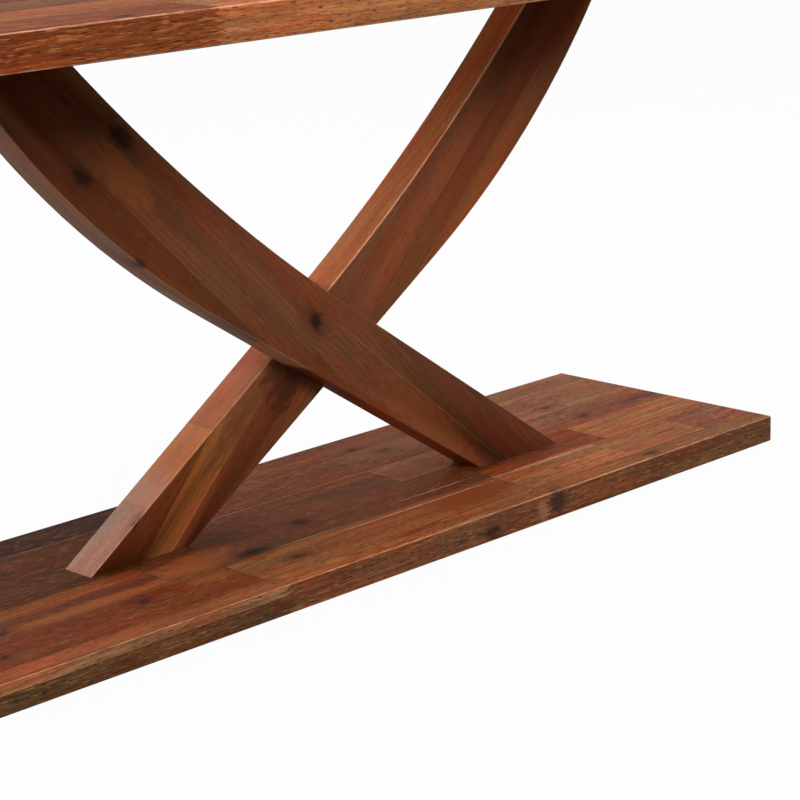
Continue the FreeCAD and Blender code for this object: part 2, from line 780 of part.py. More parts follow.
def check_document():
    """Stops where an object failed, a shape is bad, or a pocket cut nothing."""
    for item in doc.Objects:
        if "Invalid" in item.State or "Error" in item.State:
            raise RuntimeError("%s failed: %s" % (item.Name, item.getStatusString()))
        if item.TypeId == "PartDesign::Pocket":
            before = item.BaseFeature.Shape.Volume
            if before - item.Shape.Volume < 1:
                raise RuntimeError(item.Name + " cuts nothing")
    for body in doc.findObjects("PartDesign::Body"):
        if body.Shape.isNull() or not body.Shape.isValid():
            raise RuntimeError(body.Label + " has no valid shape")


def export_parts():
    os.makedirs("parts", exist_ok=True)
    for body in doc.findObjects("PartDesign::Body"):
        body.Shape.exportStep(os.path.join("parts", body.Label + ".step"))
        print("%-22s %2d solid(s)" % (body.Label, len(body.Shape.Solids)))


leg_head_inner = make_front_leg()
make_rear_leg()
make_base_plank()
make_support_plank(leg_head_inner)
make_battens()
make_tabletop()
make_end_fasteners("foot", dim("foot_inner"), dim("base_thickness"), base_top)
make_end_fasteners("head", leg_head_inner, dim("support_thickness"), head_level, ABOUT_X)
make_crossing_fasteners()
make_top_screws("support", support_screw_grid(), dim("support_thickness"))
make_top_screws("batten", batten_screw_grid(), dim("batten_thickness"))
make_glides()
doc.recompute()
check_document()
export_parts()
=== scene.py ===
import json
import math
import random
from itertools import zip_longest

import bmesh
import bpy
from mathutils import Euler, Matrix, Vector


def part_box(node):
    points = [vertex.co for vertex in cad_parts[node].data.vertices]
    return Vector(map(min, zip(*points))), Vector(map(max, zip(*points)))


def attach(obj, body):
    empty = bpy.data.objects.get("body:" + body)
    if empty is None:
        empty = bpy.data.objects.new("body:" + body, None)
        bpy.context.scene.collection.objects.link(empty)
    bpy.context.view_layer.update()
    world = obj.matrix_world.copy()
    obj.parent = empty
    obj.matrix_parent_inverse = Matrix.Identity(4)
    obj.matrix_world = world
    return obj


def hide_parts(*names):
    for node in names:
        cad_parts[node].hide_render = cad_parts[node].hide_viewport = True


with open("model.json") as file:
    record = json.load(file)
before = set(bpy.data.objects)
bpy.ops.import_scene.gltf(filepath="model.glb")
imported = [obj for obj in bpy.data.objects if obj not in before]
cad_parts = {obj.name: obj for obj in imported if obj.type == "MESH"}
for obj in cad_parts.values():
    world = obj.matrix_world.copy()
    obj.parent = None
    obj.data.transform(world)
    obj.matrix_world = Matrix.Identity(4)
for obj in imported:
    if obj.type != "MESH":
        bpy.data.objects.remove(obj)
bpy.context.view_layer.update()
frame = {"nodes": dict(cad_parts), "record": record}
print("frame loaded:", len(frame["nodes"]), "nodes")

mm = 0.001


def linearColour(hexColour):
    # an sRGB hex value as linear red, green, blue and alpha
    channels = [int(hexColour[i:i + 2], 16) / 255 for i in (0, 2, 4)]
    return tuple(c / 12.92 if c <= 0.04045 else ((c + 0.055) / 1.055) ** 2.4 for c in channels) + (1.0,)


def addNode(tree, kind, settings=None, links=None):
    # links take a node, for its first output, or a node and the name or number of an output
    node = tree.nodes.new(kind)
    for name, value in (settings or {}).items():
        if isinstance(name, str) and hasattr(node, name):
            setattr(node, name, value)
        else:
            node.inputs[name].default_value = value
    for name, source in (links or {}).items():
        source, output = source if isinstance(source, tuple) else (source, 0)
        tree.links.new(source.outputs[output], node.inputs[name])
    return node


def newMaterial(name):
    material = bpy.data.materials.new(name)
    material.use_nodes = True
    material.node_tree.nodes.clear()
    return material, material.node_tree


# tones of oiled acacia, from the near-black heart to the straw-coloured sapwood
acaciaTones = {
    "ink": "2a2023",
    "heart": "3b1b0b",
    "loam": "562b0c",
    "umber": "59311b",
    "moss": "674226",
    "lichen": "65462b",
    "earth": "61361c",
    "cedar": "693c24",
    "mahogany": "6a341e",
    "sepia": "6a3a1c",
    "smoke": "653924",
    "brown": "6e3f26",
    "bark": "704224",
    "cocoa": "75432a",
    "teak": "774022",
    "olive": "784b31",
    "wine": "66291a",
    "red": "773815",
    "hazel": "7e482c",
    "russet": "82401c",
    "chestnut": "8c4e28",
    "rust": "8d441d",
    "ginger": "93592e",
    "rose": "8d543a",
    "nutmeg": "905e42",
    "clay": "97532f",
    "orange": "9c582d",
    "henna": "9b5230",
    "apricot": "9c5f35",
    "copper": "a25a31",
    "amber": "9f623b",
    "sienna": "b0643a",
    "tan": "aa6a3f",
    "honey": "b07a42",
    "sand": "946544",
    "taupe": "816248",
    "drab": "6f5343",
    # a pinkish grey that stands partly for painted sheen
    "dusk": "907062",
    "blush": "a8705a",
    "straw": "d8a983",
}

acaciaLook = {
    "ringWidth": 5.5 * mm,          # acacia puts on 4 to 8 mm a year
    "ringWander": 16 * mm,          # how far a ring strays from a true circle
    "taper": 0.012,                 # a log's rings lean in by about 1 in 80
    "ringStops": ((0.18, 0.0), (0.60, 0.35), (0.88, 1.0)),    # how dark, across one ring's width
    "ringEnds": 0.25,               # how dark where one ring meets the next
    # patches a metre, along the grain and across it
    "wanderScale": (2.4, 10, 10),
    "driftScale": (3.2, 44, 44),    # colour bands 300 mm long and 23 mm wide
    "hueScale": (5, 26, 26),        # slow drift between redder and greener wood
    "fibreScale": (16, 330, 330),   # fibres, drawn 3 mm wide so that they show
    "poreScale": (80, 950, 950),    # pores are 0.2 mm wide, drawn at 1 mm for the same reason
    "fleckScale": (50, 560, 560),   # pale flecks of ray tissue, 20 mm long
    "gnarlScale": (60, 130, 130),   # the ragged outline of a knot
    "gnarl": 0.35,                  # how ragged, in radii of the knot
    "knotBend": 9 * mm,             # how far a knot pushes the rings aside
    "streakWander": 30 * mm,        # how far a dark streak sways to and fro
    # the noise values at which a mark starts and is full
    "ringSpan": (0.35, 0.65),
    "bandSpan": (0.36, 0.64),
    "hueSpan": (0.38, 0.62),
    "poreSpan": (0.58, 0.66),
    "fleckSpan": (0.60, 0.68),
    "wearAndHighlightSpan": (0.35, 0.6),
    # how far out a mark is full and where it has gone, in radii or half widths
    "knotReach": (0.2, 1.4),
    "rimReach": (0.7, 3.2),
    "stainAndLightReach": (0.35, 1.3),
    "streakReach": (0.6, 1.3),
    "bandTints": ((0.78, 0.70, 0.66, 1), (1.18, 1.14, 1.08, 1)),
    "hueTints": ((1.10, 0.90, 0.82, 1), (0.93, 1.07, 1.10, 1)),
    "endGrainTint": (0.66, 0.60, 0.58, 1),
    "latewood": "361a0e",
    "pore": "1c0d07",
    "fleck": "d39a6c",
    "streak": "33201a",
    "knotRim": "4a2415",
    "knot": "1d1311",
    "glue": "1e0f0a",
    "paleGlue": "cf9c78",
    # the tone of pale arrises: wear, and a painted highlight along the edge
    "wornEdgeAndHighlight": "dca685",
    # how strongly each of them covers the stave's tone
    "ringDepth": 0.46,
    "ringLeast": 0.15,              # the rings' share of that in the dark bands
    "fibreDepth": 0.32,
    "poreDepth": 0.76,
    "fleckDepth": 0.20,
    "rimDepth": 0.45,
    "glueDepth": 0.65,
    "wearAndHighlightDepth": 0.55,
    "wearAndHighlightLeast": 0.3,               # the share of that where an edge is drawn least pale
    "ior": 1.5,                     # hardened oil
    "roughness": (0.46, 0.60),      # satin, rougher along the paler fibres
    "specularLevel": 0.08,          # oil that sank in leaves little gloss on open grain
    "bump": 0.35,
    "bumpHeight": 0.25 * mm,
    "poreDip": 0.6,                 # how far the pores sink, as a share of the fibres' height
}
# the legs are sanded finer after they are sawn, so their grain shows less
sawnLook = {
    **acaciaLook,
    "bandTints": ((0.86, 0.80, 0.77, 1), (1.12, 1.10, 1.06, 1)),
    "ringDepth": 0.26,
    "fibreDepth": 0.10,
    "poreDepth": 0.28,
    "fleckDepth": 0.04,
}
noiseLow, noiseHigh = 0.3, 0.7    # nearly all the values of a noise lie between these
# a stave has so many knots and stains at most, each an ellipsoid in its wood; some of the stains are painted
# shade, painted light, sheen and highlight
spotNames = {"knot": ("knotA", "knotB"), "stainAndPaintedLight": ("stainAndLightA", "stainAndLightB", "stainAndLightC", "stainAndLightD")}


def spotMask(tree, place, gnarl, name, reaches):
    # how far inside the ellipsoid spot of that name each point lies, once for each pair of reaches
    spot = addNode(tree, "ShaderNodeAttribute", {"attribute_name": name + "Spot"})
    shape = addNode(tree, "ShaderNodeAttribute", {"attribute_name": name + "Shape"})
    away = addNode(tree, "ShaderNodeVectorMath", {"operation": "SUBTRACT"}, {0: place, 1: (spot, "Vector")})
    sized = addNode(tree, "ShaderNodeVectorMath", {"operation": "DIVIDE"}, {0: away, 1: (shape, "Vector")})
    distance = addNode(tree, "ShaderNodeVectorMath", {"operation": "LENGTH"}, {0: sized})
    ragged = addNode(tree, "ShaderNodeMath", {"operation": "ADD"}, {0: (distance, "Value"), 1: gnarl})
    masks = []
    for full, gone in reaches:
        mask = addNode(tree, "ShaderNodeMapRange",
                       {"interpolation_type": "SMOOTHSTEP", 1: full, 2: gone, 3: 1.0, 4: 0.0}, {0: ragged})
        masks.append(addNode(tree, "ShaderNodeMath", {"operation": "MULTIPLY"}, {0: mask, 1: (shape, "Alpha")}))
    return masks


def grainNoise(tree, place, scale, detail, roughness=0.5):
    # noise drawn out along the grain, at so many patches a metre each way
    drawnOut = addNode(tree, "ShaderNodeMapping", {"Scale": scale}, {"Vector": place})
    return addNode(tree, "ShaderNodeTexNoise", {"Scale": 1.0, "Detail": detail, "Roughness": roughness},
                   {"Vector": drawnOut})


def acaciaMaterial(name, look):
    # acacia, planed, sanded and oiled: warm streaky bands, dark knots and a soft satin sheen
    material, tree = newMaterial(name)
    place, tone, seam, paleSeam, edge, endGrain, streakFacts = [
        (addNode(tree, "ShaderNodeAttribute", {"attribute_name": layer}), output) for layer, output in (
            ("grainPlace", "Vector"), ("staveColour", "Color"), ("seam", "Fac"), ("paleSeam", "Fac"),
            ("edge", "Fac"), ("endGrain", "Fac"), ("streak", "Vector"))]
    wander = grainNoise(tree, place, look["wanderScale"], detail=2)
    drift = grainNoise(tree, place, look["driftScale"], detail=3)
    hue = grainNoise(tree, place, look["hueScale"], detail=2)
    fibre = grainNoise(tree, place, look["fibreScale"], detail=3, roughness=0.6)
    pores = grainNoise(tree, place, look["poreScale"], detail=1)
    flecks = grainNoise(tree, place, look["fleckScale"], detail=1)
    gnarled = grainNoise(tree, place, look["gnarlScale"], detail=3)
    gnarl = addNode(tree, "ShaderNodeMapRange",
                    {1: noiseLow, 2: noiseHigh, 3: -look["gnarl"], 4: look["gnarl"]}, {0: gnarled})
    knots = [spotMask(tree, place, gnarl, spot, (look["knotReach"], look["rimReach"]))
             for spot in spotNames["knot"]]
    core, rim = [addNode(tree, "ShaderNodeMath", {"operation": "MAXIMUM"}, {0: first, 1: second})
                 for first, second in zip(*knots)]

    # growth rings: distance from the pith, bent by slow noise and pushed aside by knots
    parts = addNode(tree, "ShaderNodeSeparateXYZ", links={0: place})
    crossSection = addNode(tree, "ShaderNodeVectorMath", {"operation": "MULTIPLY", 1: (0, 1, 1)}, {0: place})
    radius = addNode(tree, "ShaderNodeVectorMath", {"operation": "LENGTH"}, {0: crossSection})
    bent = addNode(tree, "ShaderNodeMath", {"operation": "MULTIPLY_ADD", 1: look["ringWander"]},
                   {0: wander, 2: (radius, "Value")})
    leaning = addNode(tree, "ShaderNodeMath", {"operation": "MULTIPLY_ADD", 1: look["taper"]},
                      {0: (parts, "X"), 2: bent})
    pushed = addNode(tree, "ShaderNodeMath", {"operation": "MULTIPLY_ADD", 1: look["knotBend"]},
                     {0: rim, 2: leaning})
    turns = addNode(tree, "ShaderNodeMath", {"operation": "DIVIDE", 1: look["ringWidth"]}, {0: pushed})
    latewood = addNode(tree, "ShaderNodeValToRGB",
                       links={0: addNode(tree, "ShaderNodeMath", {"operation": "FRACT"}, {0: turns})})
    latewood.color_ramp.interpolation = "EASE"
    for stop in latewood.color_ramp.elements:
        stop.color = (look["ringEnds"],) * 3 + (1,)
    for position, value in look["ringStops"]:
        latewood.color_ramp.elements.new(position).color = (value, value, value, 1)
    low, high = look["ringSpan"]
    ringShare = addNode(tree, "ShaderNodeMapRange",
                        {1: low, 2: high, 3: look["ringLeast"] * look["ringDepth"], 4: look["ringDepth"]},
                        {0: drift})
    ringMask = addNode(tree, "ShaderNodeMath", {"operation": "MULTIPLY"}, {0: latewood, 1: ringShare})

    # colour: the stave's tone with darker and lighter bands, then rings, fibres and pores
    tinted = tone
    for noise, (low, high), (first, second) in (
            (drift, look["bandSpan"], look["bandTints"]), (hue, look["hueSpan"], look["hueTints"])):
        share = addNode(tree, "ShaderNodeMapRange",
                        {"interpolation_type": "SMOOTHSTEP", 1: low, 2: high, 3: 0.0, 4: 1.0}, {0: noise})
        tint = addNode(tree, "ShaderNodeMix", {"data_type": "RGBA", 6: first, 7: second}, {0: share})
        tinted = (addNode(tree, "ShaderNodeMix", {"data_type": "RGBA", "blend_type": "MULTIPLY", 0: 1.0},
                          {6: tinted, 7: (tint, 2)}), 2)
    ringed = addNode(tree, "ShaderNodeMix", {"data_type": "RGBA", 7: linearColour(look["latewood"])},
                     {0: ringMask, 6: tinted})
    fibreTint = addNode(tree, "ShaderNodeMapRange",
                        {1: noiseLow, 2: noiseHigh, 3: 1 - look["fibreDepth"], 4: 1 + look["fibreDepth"]},
                        {0: fibre})
    fibred = addNode(tree, "ShaderNodeVectorMath", {"operation": "SCALE"}, {0: (ringed, 2), "Scale": fibreTint})
    poreMask, fleckMask = [
        addNode(tree, "ShaderNodeMapRange",
                {"interpolation_type": "SMOOTHSTEP", 1: low, 2: high, 3: 0.0, 4: depth}, {0: noise})
        for noise, (low, high), depth in ((pores, look["poreSpan"], look["poreDepth"]),
                                          (flecks, look["fleckSpan"], look["fleckDepth"]))]
    pored = addNode(tree, "ShaderNodeMix", {"data_type": "RGBA", 7: linearColour(look["pore"])},
                    {0: poreMask, 6: fibred})
    flecked = addNode(tree, "ShaderNodeMix", {"data_type": "RGBA", 7: linearColour(look["fleck"])},
                      {0: fleckMask, 6: (pored, 2)})

    # a dark streak of heartwood that runs the length of a stave
    streak = addNode(tree, "ShaderNodeSeparateXYZ", links={0: streakFacts})
    aside = addNode(tree, "ShaderNodeMath", {"operation": "SUBTRACT"}, {0: (parts, "Y"), 1: (streak, "X")})
    sway = addNode(tree, "ShaderNodeMapRange",
                   {1: 0.0, 2: 1.0, 3: -look["streakWander"] / 2, 4: look["streakWander"] / 2}, {0: wander})
    swayed = addNode(tree, "ShaderNodeMath", {"operation": "ADD"}, {0: aside, 1: sway})
    width = addNode(tree, "ShaderNodeMath", {"operation": "ABSOLUTE"}, {0: swayed})
    halfWidths = addNode(tree, "ShaderNodeMath", {"operation": "DIVIDE"}, {0: width, 1: (streak, "Y")})
    full, gone = look["streakReach"]
    belt = addNode(tree, "ShaderNodeMapRange",
                   {"interpolation_type": "SMOOTHSTEP", 1: full, 2: gone, 3: 1.0, 4: 0.0}, {0: halfWidths})
    streakMask = addNode(tree, "ShaderNodeMath", {"operation": "MULTIPLY"}, {0: belt, 1: (streak, "Z")})
    stainedAndPaintedLight = addNode(tree, "ShaderNodeMix", {"data_type": "RGBA", 7: linearColour(look["streak"])},
                      {0: streakMask, 6: (flecked, 2)})

    # stains lie over one another in their order, painted shade, light, sheen and highlight among them, and knots
    # over them
    for spot in spotNames["stainAndPaintedLight"]:
        colour = (addNode(tree, "ShaderNodeAttribute", {"attribute_name": spot + "Colour"}), "Color")
        mask = spotMask(tree, place, gnarl, spot, (look["stainAndLightReach"],))[0]
        stainedAndPaintedLight = addNode(tree, "ShaderNodeMix", {"data_type": "RGBA"}, {0: mask, 6: (stainedAndPaintedLight, 2), 7: colour})
    rimMask = addNode(tree, "ShaderNodeMath", {"operation": "MULTIPLY", 1: look["rimDepth"]}, {0: rim})
    rimmed = addNode(tree, "ShaderNodeMix", {"data_type": "RGBA", 7: linearColour(look["knotRim"])},
                     {0: rimMask, 6: (stainedAndPaintedLight, 2)})
    knotted = addNode(tree, "ShaderNodeMix", {"data_type": "RGBA", 7: linearColour(look["knot"])},
                      {0: core, 6: (rimmed, 2)})

    # end grain drinks more oil, glue lines are dark or pale, and arrises are drawn pale, partly as wear and
    # partly as a painted highlight
    ended = addNode(tree, "ShaderNodeMix",
                    {"data_type": "RGBA", "blend_type": "MULTIPLY", 7: look["endGrainTint"]},
                    {0: endGrain, 6: (knotted, 2)})
    glueMask = addNode(tree, "ShaderNodeMath", {"operation": "MULTIPLY", 1: look["glueDepth"]}, {0: seam})
    glue = addNode(tree, "ShaderNodeMix", {"data_type": "RGBA", 6: linearColour(look["glue"]),
                                           7: linearColour(look["paleGlue"])}, {0: paleSeam})
    glued = addNode(tree, "ShaderNodeMix", {"data_type": "RGBA"}, {0: glueMask, 6: (ended, 2), 7: (glue, 2)})
    low, high = look["wearAndHighlightSpan"]
    wornAndHighlight = addNode(tree, "ShaderNodeMapRange",
                   {1: low, 2: high, 3: look["wearAndHighlightLeast"] * look["wearAndHighlightDepth"], 4: look["wearAndHighlightDepth"]},
                   {0: flecks})
    wearAndHighlightMask = addNode(tree, "ShaderNodeMath", {"operation": "MULTIPLY"}, {0: wornAndHighlight, 1: edge})
    finished = addNode(tree, "ShaderNodeMix", {"data_type": "RGBA", 7: linearColour(look["wornEdgeAndHighlight"])},
                       {0: wearAndHighlightMask, 6: (glued, 2)})

    rough = addNode(tree, "ShaderNodeMapRange",
                    {1: noiseLow, 2: noiseHigh, 3: look["roughness"][0], 4: look["roughness"][1]}, {0: fibre})
    height = addNode(tree, "ShaderNodeMath", {"operation": "MULTIPLY_ADD", 1: -look["poreDip"]},
                     {0: poreMask, 2: fibre})
    bump = addNode(tree, "ShaderNodeBump", {"Strength": look["bump"], "Distance": look["bumpHeight"]},
                   {"Height": height})
    wood = addNode(tree, "ShaderNodeBsdfPrincipled",
                   {"IOR": look["ior"], "Specular IOR Level": look["specularLevel"]},
                   {"Base Color": (finished, 2), "Roughness": rough, "Normal": bump})
    addNode(tree, "ShaderNodeOutputMaterial", links={"Surface": wood})
    return material


acacia = acaciaMaterial("oiledAcacia", acaciaLook)
sawnAcacia = acaciaMaterial("oiledAcaciaSawn", sawnLook)
print("wood ready")

# limits for the work on meshes
weldGap = 0.002 * mm                # corners nearer than this are one
cutGap = 0.001 * mm                 # a corner this near a cut lies on it
onLine = 0.01 * mm                  # a corner this near a joint's line belongs to it
flatWithin = math.radians(0.2)      # faces that turn by less are one flat side
sharpFrom = math.radians(50)        # an edge that turns by more is sharp
facingUp = 0.3                      # the least upward part of an upper face's normal
facingSide = 0.75                   # the least sideways part of a side's normal
facingAxis = 0.9999                 # a flat side faces straight along an axis
easedFacing = (0.5, 0.85)           # the upward part of the normal on a board's eased edges

faceLayers = {"staveColour": "float_color", "streak": "float_vector", "seam": "float", "paleSeam": "float",
              "endGrain": "float", "edge": "float"}
for spot in spotNames["knot"] + spotNames["stainAndPaintedLight"]:
    faceLayers[spot + "Spot"], faceLayers[spot + "Shape"] = "float_vector", "float_color"
for spot in spotNames["stainAndPaintedLight"]:
    faceLayers[spot + "Colour"] = "float_color"


def copyOfNode(name):
    # the node's own mesh, welded, as the start of a new piece
    bm = bmesh.new()
    bm.from_mesh(frame["nodes"][name].data)
    bmesh.ops.remove_doubles(bm, verts=bm.verts, dist=weldGap)
    for layer in list(bm.loops.layers.uv):
        bm.loops.layers.uv.remove(layer)
    bmesh.ops.dissolve_limit(bm, angle_limit=flatWithin, verts=bm.verts, edges=bm.edges)
    return bm


def startLayers(bm):
    layers = {name: getattr(bm.faces.layers, kind).new(name) for name, kind in faceLayers.items()}
    layers["stave"] = bm.faces.layers.int.new("stave")
    layers["grainPlace"] = bm.loops.layers.float_vector.new("grainPlace")
    return layers


def cutStave(bm, layers, number, newNumber, point, across, lineWidth):
    # parts a stave by a glue line at point, and gives what lies beyond the new number; no width leaves no line
    for side in (-0.5, 0.5) if lineWidth else (0,):
        faces = [f for f in bm.faces if f[layers["stave"]] == number]
        edges = {e for f in faces for e in f.edges}
        verts = {v for f in faces for v in f.verts}
        bmesh.ops.bisect_plane(bm, geom=faces + list(edges) + list(verts), dist=cutGap,
                               plane_co=point + across * (side * lineWidth), plane_no=across)
    for face in bm.faces:
        if face[layers["stave"]] == number:
            offset = (face.calc_center_median() - point).dot(across)
            if offset > lineWidth / 2:
                face[layers["stave"]] = newNumber
            elif offset > -lineWidth / 2:
                face[layers["seam"]] = 1.0


fingers = {"length": 17 * mm, "pitch": 6.3 * mm}    # a common furniture finger joint


def cutFingers(bm, place, side, lineWidth):
    # turns a butt joint's line on one long edge of a board into the zigzag of a finger joint
    for line in (place - lineWidth / 2, place + lineWidth / 2):
        upright = [e for e in bm.edges if e.calc_length() > fingers["pitch"] * 2
                   and all(abs(v.co.x - line) < onLine and abs(v.co.y - side) < onLine for v in e.verts)]
        for edge in upright:
            cuts = 2 * round(edge.calc_length() / fingers["pitch"]) - 1
            points = [g for g in bmesh.ops.subdivide_edges(bm, edges=[edge], cuts=cuts)["geom_inner"]
                      if isinstance(g, bmesh.types.BMVert)]
            for index, point in enumerate(sorted(points, key=lambda v: v.co.z)):
                point.co.x += fingers["length"] / 2 * (1 if index % 2 else -1)


# where the pith of each stave's log lies, drawn by lot
pithPlace = {
    "along": (0, 6),                # metres, so that no two staves show the same bands
    "aside": (15, 85),              # mm, to either side
    "away": (25, 70),               # mm, above or below
}
noSpot = (Vector((-9, 0, 0)), Vector((1, 1, 1, 0)), None, [])    # far off and without strength


def markStaves(bm, layers, staves, spots, streaks, isEdge, seed):
    # gives every face its stave's tone, streak, knots and stains, painted light among the stains, and every
    # corner its place in the grain
    draw = random.Random(seed)
    centres = {}
    for face in bm.faces:
        total = centres.setdefault(face[layers["stave"]], [Vector(), 0.0])
        area = face.calc_area()
        total[0] += face.calc_center_median() * area
        total[1] += area
    facts = {}
    for number in sorted(centres):
        axis, through = staves[number]["axis"].normalized(), staves[number]["through"].normalized()
        across = through.cross(axis)
        middle = centres[number][0] / centres[number][1]
        shift = Vector((draw.uniform(*pithPlace["along"]),
                        draw.choice((-1, 1)) * draw.uniform(*pithPlace["aside"]) * mm - middle.dot(across),
                        draw.choice((-1, 1)) * draw.uniform(*pithPlace["away"]) * mm - middle.dot(through)))
        if "sameGrain" in staves[number]:
            shift = facts[staves[number]["sameGrain"]]["shift"]
        facts[number] = {"turn": Matrix((axis, across, through)), "shift": shift, "knot": [], "stainAndPaintedLight": [],
                         "streak": Vector((0, 1, 0))}
    for spot, radii, strength, number, colour, *upperOnly in spots:
        fact = facts[number]
        fact["stainAndPaintedLight" if colour else "knot"].append(
            (fact["turn"] @ Vector(spot) + fact["shift"], Vector((*radii, strength)), colour, upperOnly))
    for spot, halfWidth, strength, number in streaks:
        fact = facts[number]
        fact["streak"] = Vector(((fact["turn"] @ Vector(spot) + fact["shift"]).y, halfWidth, strength))
    for face in bm.faces:
        number = face[layers["stave"]]
        stave, fact = staves[number], facts[number]
        tone = stave["tone"]
        if face.normal.z > facingUp:
            tone = stave.get("upperTone", tone)
        elif face.normal.z < -facingUp:
            tone = stave.get("lowerTone", tone)
        elif abs(face.normal.y) > facingSide:
            tone = stave.get("sideTone", tone)
        face[layers["staveColour"]] = linearColour(acaciaTones[tone])
        face[layers["streak"]] = fact["streak"]
        face[layers["paleSeam"]] = stave.get("paleSeam", 0.0)
        face[layers["seam"]] *= stave.get("seamShade", 1.0)
        face[layers["endGrain"]] = abs(face.normal.dot(stave["axis"])) ** 3    # next to none on slanting faces
        face[layers["edge"]] = float(isEdge(face))
        for kind, names in spotNames.items():
            assert len(fact[kind]) <= len(names), (number, kind)
            for name, (spot, shape, colour, upperOnly) in zip_longest(names, fact[kind], fillvalue=noSpot):
                if upperOnly and face.normal.z < facingUp:
                    spot, shape = noSpot[:2]
                face[layers[name + "Spot"]], face[layers[name + "Shape"]] = spot, shape
                if colour:
                    face[layers[name + "Colour"]] = linearColour(acaciaTones[colour])
        for loop in face.loops:
            loop[layers["grainPlace"]] = fact["turn"] @ loop.vert.co + fact["shift"]


def finishPiece(bm, name, node, material):
    mesh = bpy.data.meshes.new(name)
    for face in bm.faces:
        face.smooth = max(abs(part) for part in face.normal) < facingAxis
    bm.to_mesh(mesh)
    bm.free()
    piece = bpy.data.objects.new(name, mesh)
    bpy.context.scene.collection.objects.link(piece)
    mesh.materials.append(material)
    mesh.set_sharp_from_angle(angle=sharpFrom)
    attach(piece, "root")
    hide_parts(node)


def scaled(values):
    # any nest of tuples of mm, in metres
    return tuple(scaled(v) if isinstance(v, (tuple, list)) else v * mm for v in values)


def rowStaves(bm, layers, facts):
    # butcher block: glue lines between the rows, then butt joints within each row
    along, across, lineWidth, staves = Vector((1, 0, 0)), Vector((0, 1, 0)), facts["seam"] * mm, {}
    for row, line in enumerate(scaled(facts["rows"])):
        wide = facts.get("wideSeams", {}).get(row, facts["seam"])
        cutStave(bm, layers, row * 10, (row + 1) * 10, across * line, across, wide * mm)
    for row, places in enumerate(scaled(facts["joints"])):
        for index, place in enumerate(places):
            cutStave(bm, layers, row * 10 + index, row * 10 + index + 1, along * place, along, lineWidth)
        for index, tone in enumerate(facts["tones"][row]):
            staves[row * 10 + index] = {"axis": along, "through": Vector((0, 0, 1)), "tone": tone}
    return staves


# a board's eased edges, drawn pale as wear and as a painted highlight
def plankEdge(face):
    low, high = easedFacing
    return low < abs(face.normal.z) < high


rightThrough = 1.0    # metres: the depth of a knot or stain that shows alike all the way through a piece


def makePlank(name, node, facts, seed):
    bm = copyOfNode(node)
    layers = startLayers(bm)
    low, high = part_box(node)
    lineWidth = facts["seam"] * mm
    staves = rowStaves(bm, layers, facts)
    joints = scaled(facts["joints"])
    for side, row in ((low.y, 0), (high.y, len(joints) - 1)):
        for place in joints[row]:
            cutFingers(bm, place, side, lineWidth)
    for number, height, newNumber, tone in facts.get("layers", ()):
        cutStave(bm, layers, number, newNumber, Vector((0, 0, height * mm)), Vector((0, 0, 1)), lineWidth)
        staves[newNumber] = dict(staves[number], tone=tone)
    for number, tone in facts.get("sideTones", {}).items():
        staves[number]["sideTone"] = tone
    for number in facts.get("paleSeams", ()):
        staves[number]["paleSeam"] = 1.0

    def staveAt(x, y):
        row = sum(y > line for line in facts["rows"])
        return row * 10 + sum(x > place for place in facts["joints"][row])

    spots, streaks = [], []
    for x, y, long, wide, strength, *colour in facts["knots"] + facts.get("stainsAndPaintedLight", ()):
        spots.append(((x * mm, y * mm, high.z), (long * mm, wide * mm, rightThrough), strength, staveAt(x, y),
                      colour[0] if colour else None))
    for x, z, long, wide, deep, strength, *colour in facts.get("edgeKnots", ()) + facts.get("edgeStains", ()):
        numbers = [staveAt(x, facts["rows"][0] - 1)]
        numbers += [new for number, height, new, tone in facts.get("layers", ()) if number == numbers[0]]
        for number in numbers:
            spots.append(((x * mm, low.y, z * mm), scaled((long, deep, wide)), strength, number,
                          colour[0] if colour else None))
    for x, y, halfWidth, strength in facts.get("streaks", ()):
        streaks.append(((x * mm, y * mm, high.z), halfWidth * mm, strength, staveAt(x, y)))
    markStaves(bm, layers, staves, spots, streaks, plankEdge, seed)
    finishPiece(bm, name, node, acacia)


